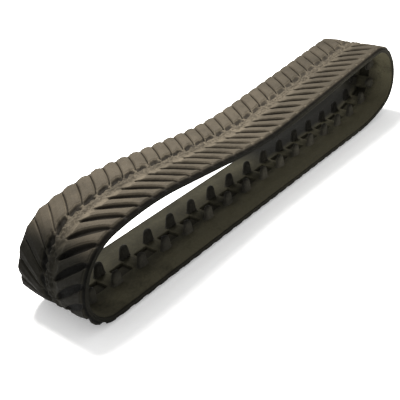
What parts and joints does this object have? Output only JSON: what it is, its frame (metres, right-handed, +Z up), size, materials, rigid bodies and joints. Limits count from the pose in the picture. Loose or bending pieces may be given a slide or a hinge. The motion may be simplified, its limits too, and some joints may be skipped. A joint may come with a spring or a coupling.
{
  "type": "rubber track",
  "caption": "Endless rubber track belt for a compact machine, with chevron tread lugs, steel cores with guide horns, and steel cords.",
  "frame": {"origin": "on the floor under the middle of the belt's length and width", "axes": "+X along the track towards its front end, +Y across it, +Z up"},
  "size_m": [1.2166, 0.18, 0.2142],
  "materials": {
    "carcass_rubber": "matte",
    "tread_rubber": "matte, dusty",
    "core_steel": "as forged, dark",
    "cord_steel": "drawn wire"
  },
  "bodies": {
    "bottom_run": {"rubber_carcass_bottom": "carcass_rubber", "tread_lugs_bottom": "tread_rubber", "steel_cores_bottom": "core_steel", "steel_cords_bottom": "cord_steel"},
    "front_1": {"rubber_carcass_front_1": "carcass_rubber", "tread_lugs_front_1": "tread_rubber", "steel_cores_front_1": "core_steel", "steel_cords_front_1": "cord_steel"},
    "front_2": {"rubber_carcass_front_2": "carcass_rubber", "tread_lugs_front_2": "tread_rubber", "steel_cores_front_2": "core_steel", "steel_cords_front_2": "cord_steel"},
    "front_3": {"rubber_carcass_front_3": "carcass_rubber", "tread_lugs_front_3": "tread_rubber", "steel_cores_front_3": "core_steel", "steel_cords_front_3": "cord_steel"},
    "front_4": {"rubber_carcass_front_4": "carcass_rubber", "tread_lugs_front_4": "tread_rubber", "steel_cores_front_4": "core_steel", "steel_cords_front_4": "cord_steel"},
    "front_5": {"rubber_carcass_front_5": "carcass_rubber", "tread_lugs_front_5": "tread_rubber", "steel_cores_front_5": "core_steel", "steel_cords_front_5": "cord_steel"},
    "front_6": {"rubber_carcass_front_6": "carcass_rubber", "tread_lugs_front_6": "tread_rubber", "steel_cores_front_6": "core_steel", "steel_cords_front_6": "cord_steel"},
    "rear_1": {"rubber_carcass_rear_1": "carcass_rubber", "tread_lugs_rear_1": "tread_rubber", "steel_cores_rear_1": "core_steel", "steel_cords_rear_1": "cord_steel"},
    "rear_2": {"rubber_carcass_rear_2": "carcass_rubber", "tread_lugs_rear_2": "tread_rubber", "steel_cores_rear_2": "core_steel", "steel_cords_rear_2": "cord_steel"},
    "rear_3": {"rubber_carcass_rear_3": "carcass_rubber", "tread_lugs_rear_3": "tread_rubber", "steel_cores_rear_3": "core_steel", "steel_cords_rear_3": "cord_steel"},
    "rear_4": {"rubber_carcass_rear_4": "carcass_rubber", "tread_lugs_rear_4": "tread_rubber", "steel_cores_rear_4": "core_steel", "steel_cords_rear_4": "cord_steel"},
    "rear_5": {"rubber_carcass_rear_5": "carcass_rubber", "tread_lugs_rear_5": "tread_rubber", "steel_cores_rear_5": "core_steel", "steel_cords_rear_5": "cord_steel"}
  },
  "joints": [
    {"name": "belt_flex", "type": "hinge", "parent": "bottom_run", "child": "front_1", "pos_m": [0.43053, 0, 0.01141], "axis": [0, -1, 0], "range_deg": [-0.71, 0.71], "stiffness_Nm_per_rad": 13087, "springref_deg": 0.39},
    {"name": "front_bend_2", "type": "hinge", "parent": "front_1", "child": "front_2", "pos_m": [0.56963, 0, 0.0438], "axis": [0, -1, 0], "range_deg": [-0.94, 0.94]},
    {"name": "front_bend_3", "type": "hinge", "parent": "front_2", "child": "front_3", "pos_m": [0.56836, 0, 0.17122], "axis": [0, -1, 0], "range_deg": [-1.95, 1.95]},
    {"name": "front_bend_4", "type": "hinge", "parent": "front_3", "child": "front_4", "pos_m": [0.43334, 0, 0.19834], "axis": [0, -1, 0], "range_deg": [-0.81, 0.81]},
    {"name": "front_bend_5", "type": "hinge", "parent": "front_4", "child": "front_5", "pos_m": [0.28989, 0, 0.18579], "axis": [0, -1, 0], "range_deg": [-0.73, 0.73]},
    {"name": "front_bend_6", "type": "hinge", "parent": "front_5", "child": "front_6", "pos_m": [0.14644, 0, 0.17324], "axis": [0, -1, 0], "range_deg": [-2.26, 2.26]},
    {"name": "rear_bend_1", "type": "hinge", "parent": "bottom_run", "child": "rear_1", "pos_m": [-0.50546, 0, 0.011], "axis": [0, -1, 0], "range_deg": [-1.03, 1.03]},
    {"name": "rear_bend_2", "type": "hinge", "parent": "rear_1", "child": "rear_2", "pos_m": [-0.59635, 0, 0.09226], "axis": [0, -1, 0], "range_deg": [-2.2, 2.2]},
    {"name": "rear_bend_3", "type": "hinge", "parent": "rear_2", "child": "rear_3", "pos_m": [-0.49929, 0, 0.18382], "axis": [0, -1, 0], "range_deg": [-2.22, 2.22]},
    {"name": "rear_bend_4", "type": "hinge", "parent": "rear_3", "child": "rear_4", "pos_m": [-0.35574, 0, 0.19023], "axis": [0, -1, 0], "range_deg": [-0.2579, 0.2579]},
    {"name": "rear_bend_5", "type": "hinge", "parent": "rear_4", "child": "rear_5", "pos_m": [-0.21249, 0, 0.17559], "axis": [0, -1, 0], "range_deg": [-3.14, 3.14]}
  ],
  "couplings": [
    {"joint": "front_bend_2", "follows": "belt_flex", "ratio": -1.3297},
    {"joint": "front_bend_3", "follows": "belt_flex", "ratio": -2.7453},
    {"joint": "front_bend_4", "follows": "belt_flex", "ratio": -1.1429},
    {"joint": "front_bend_5", "follows": "belt_flex", "ratio": 1.025},
    {"joint": "front_bend_6", "follows": "belt_flex", "ratio": 3.193},
    {"joint": "rear_bend_1", "follows": "belt_flex", "ratio": -1.4507},
    {"joint": "rear_bend_2", "follows": "belt_flex", "ratio": 3.1116},
    {"joint": "rear_bend_3", "follows": "belt_flex", "ratio": 3.1396},
    {"joint": "rear_bend_4", "follows": "belt_flex", "ratio": -0.36344},
    {"joint": "rear_bend_5", "follows": "belt_flex", "ratio": -4.4371}
  ]
}
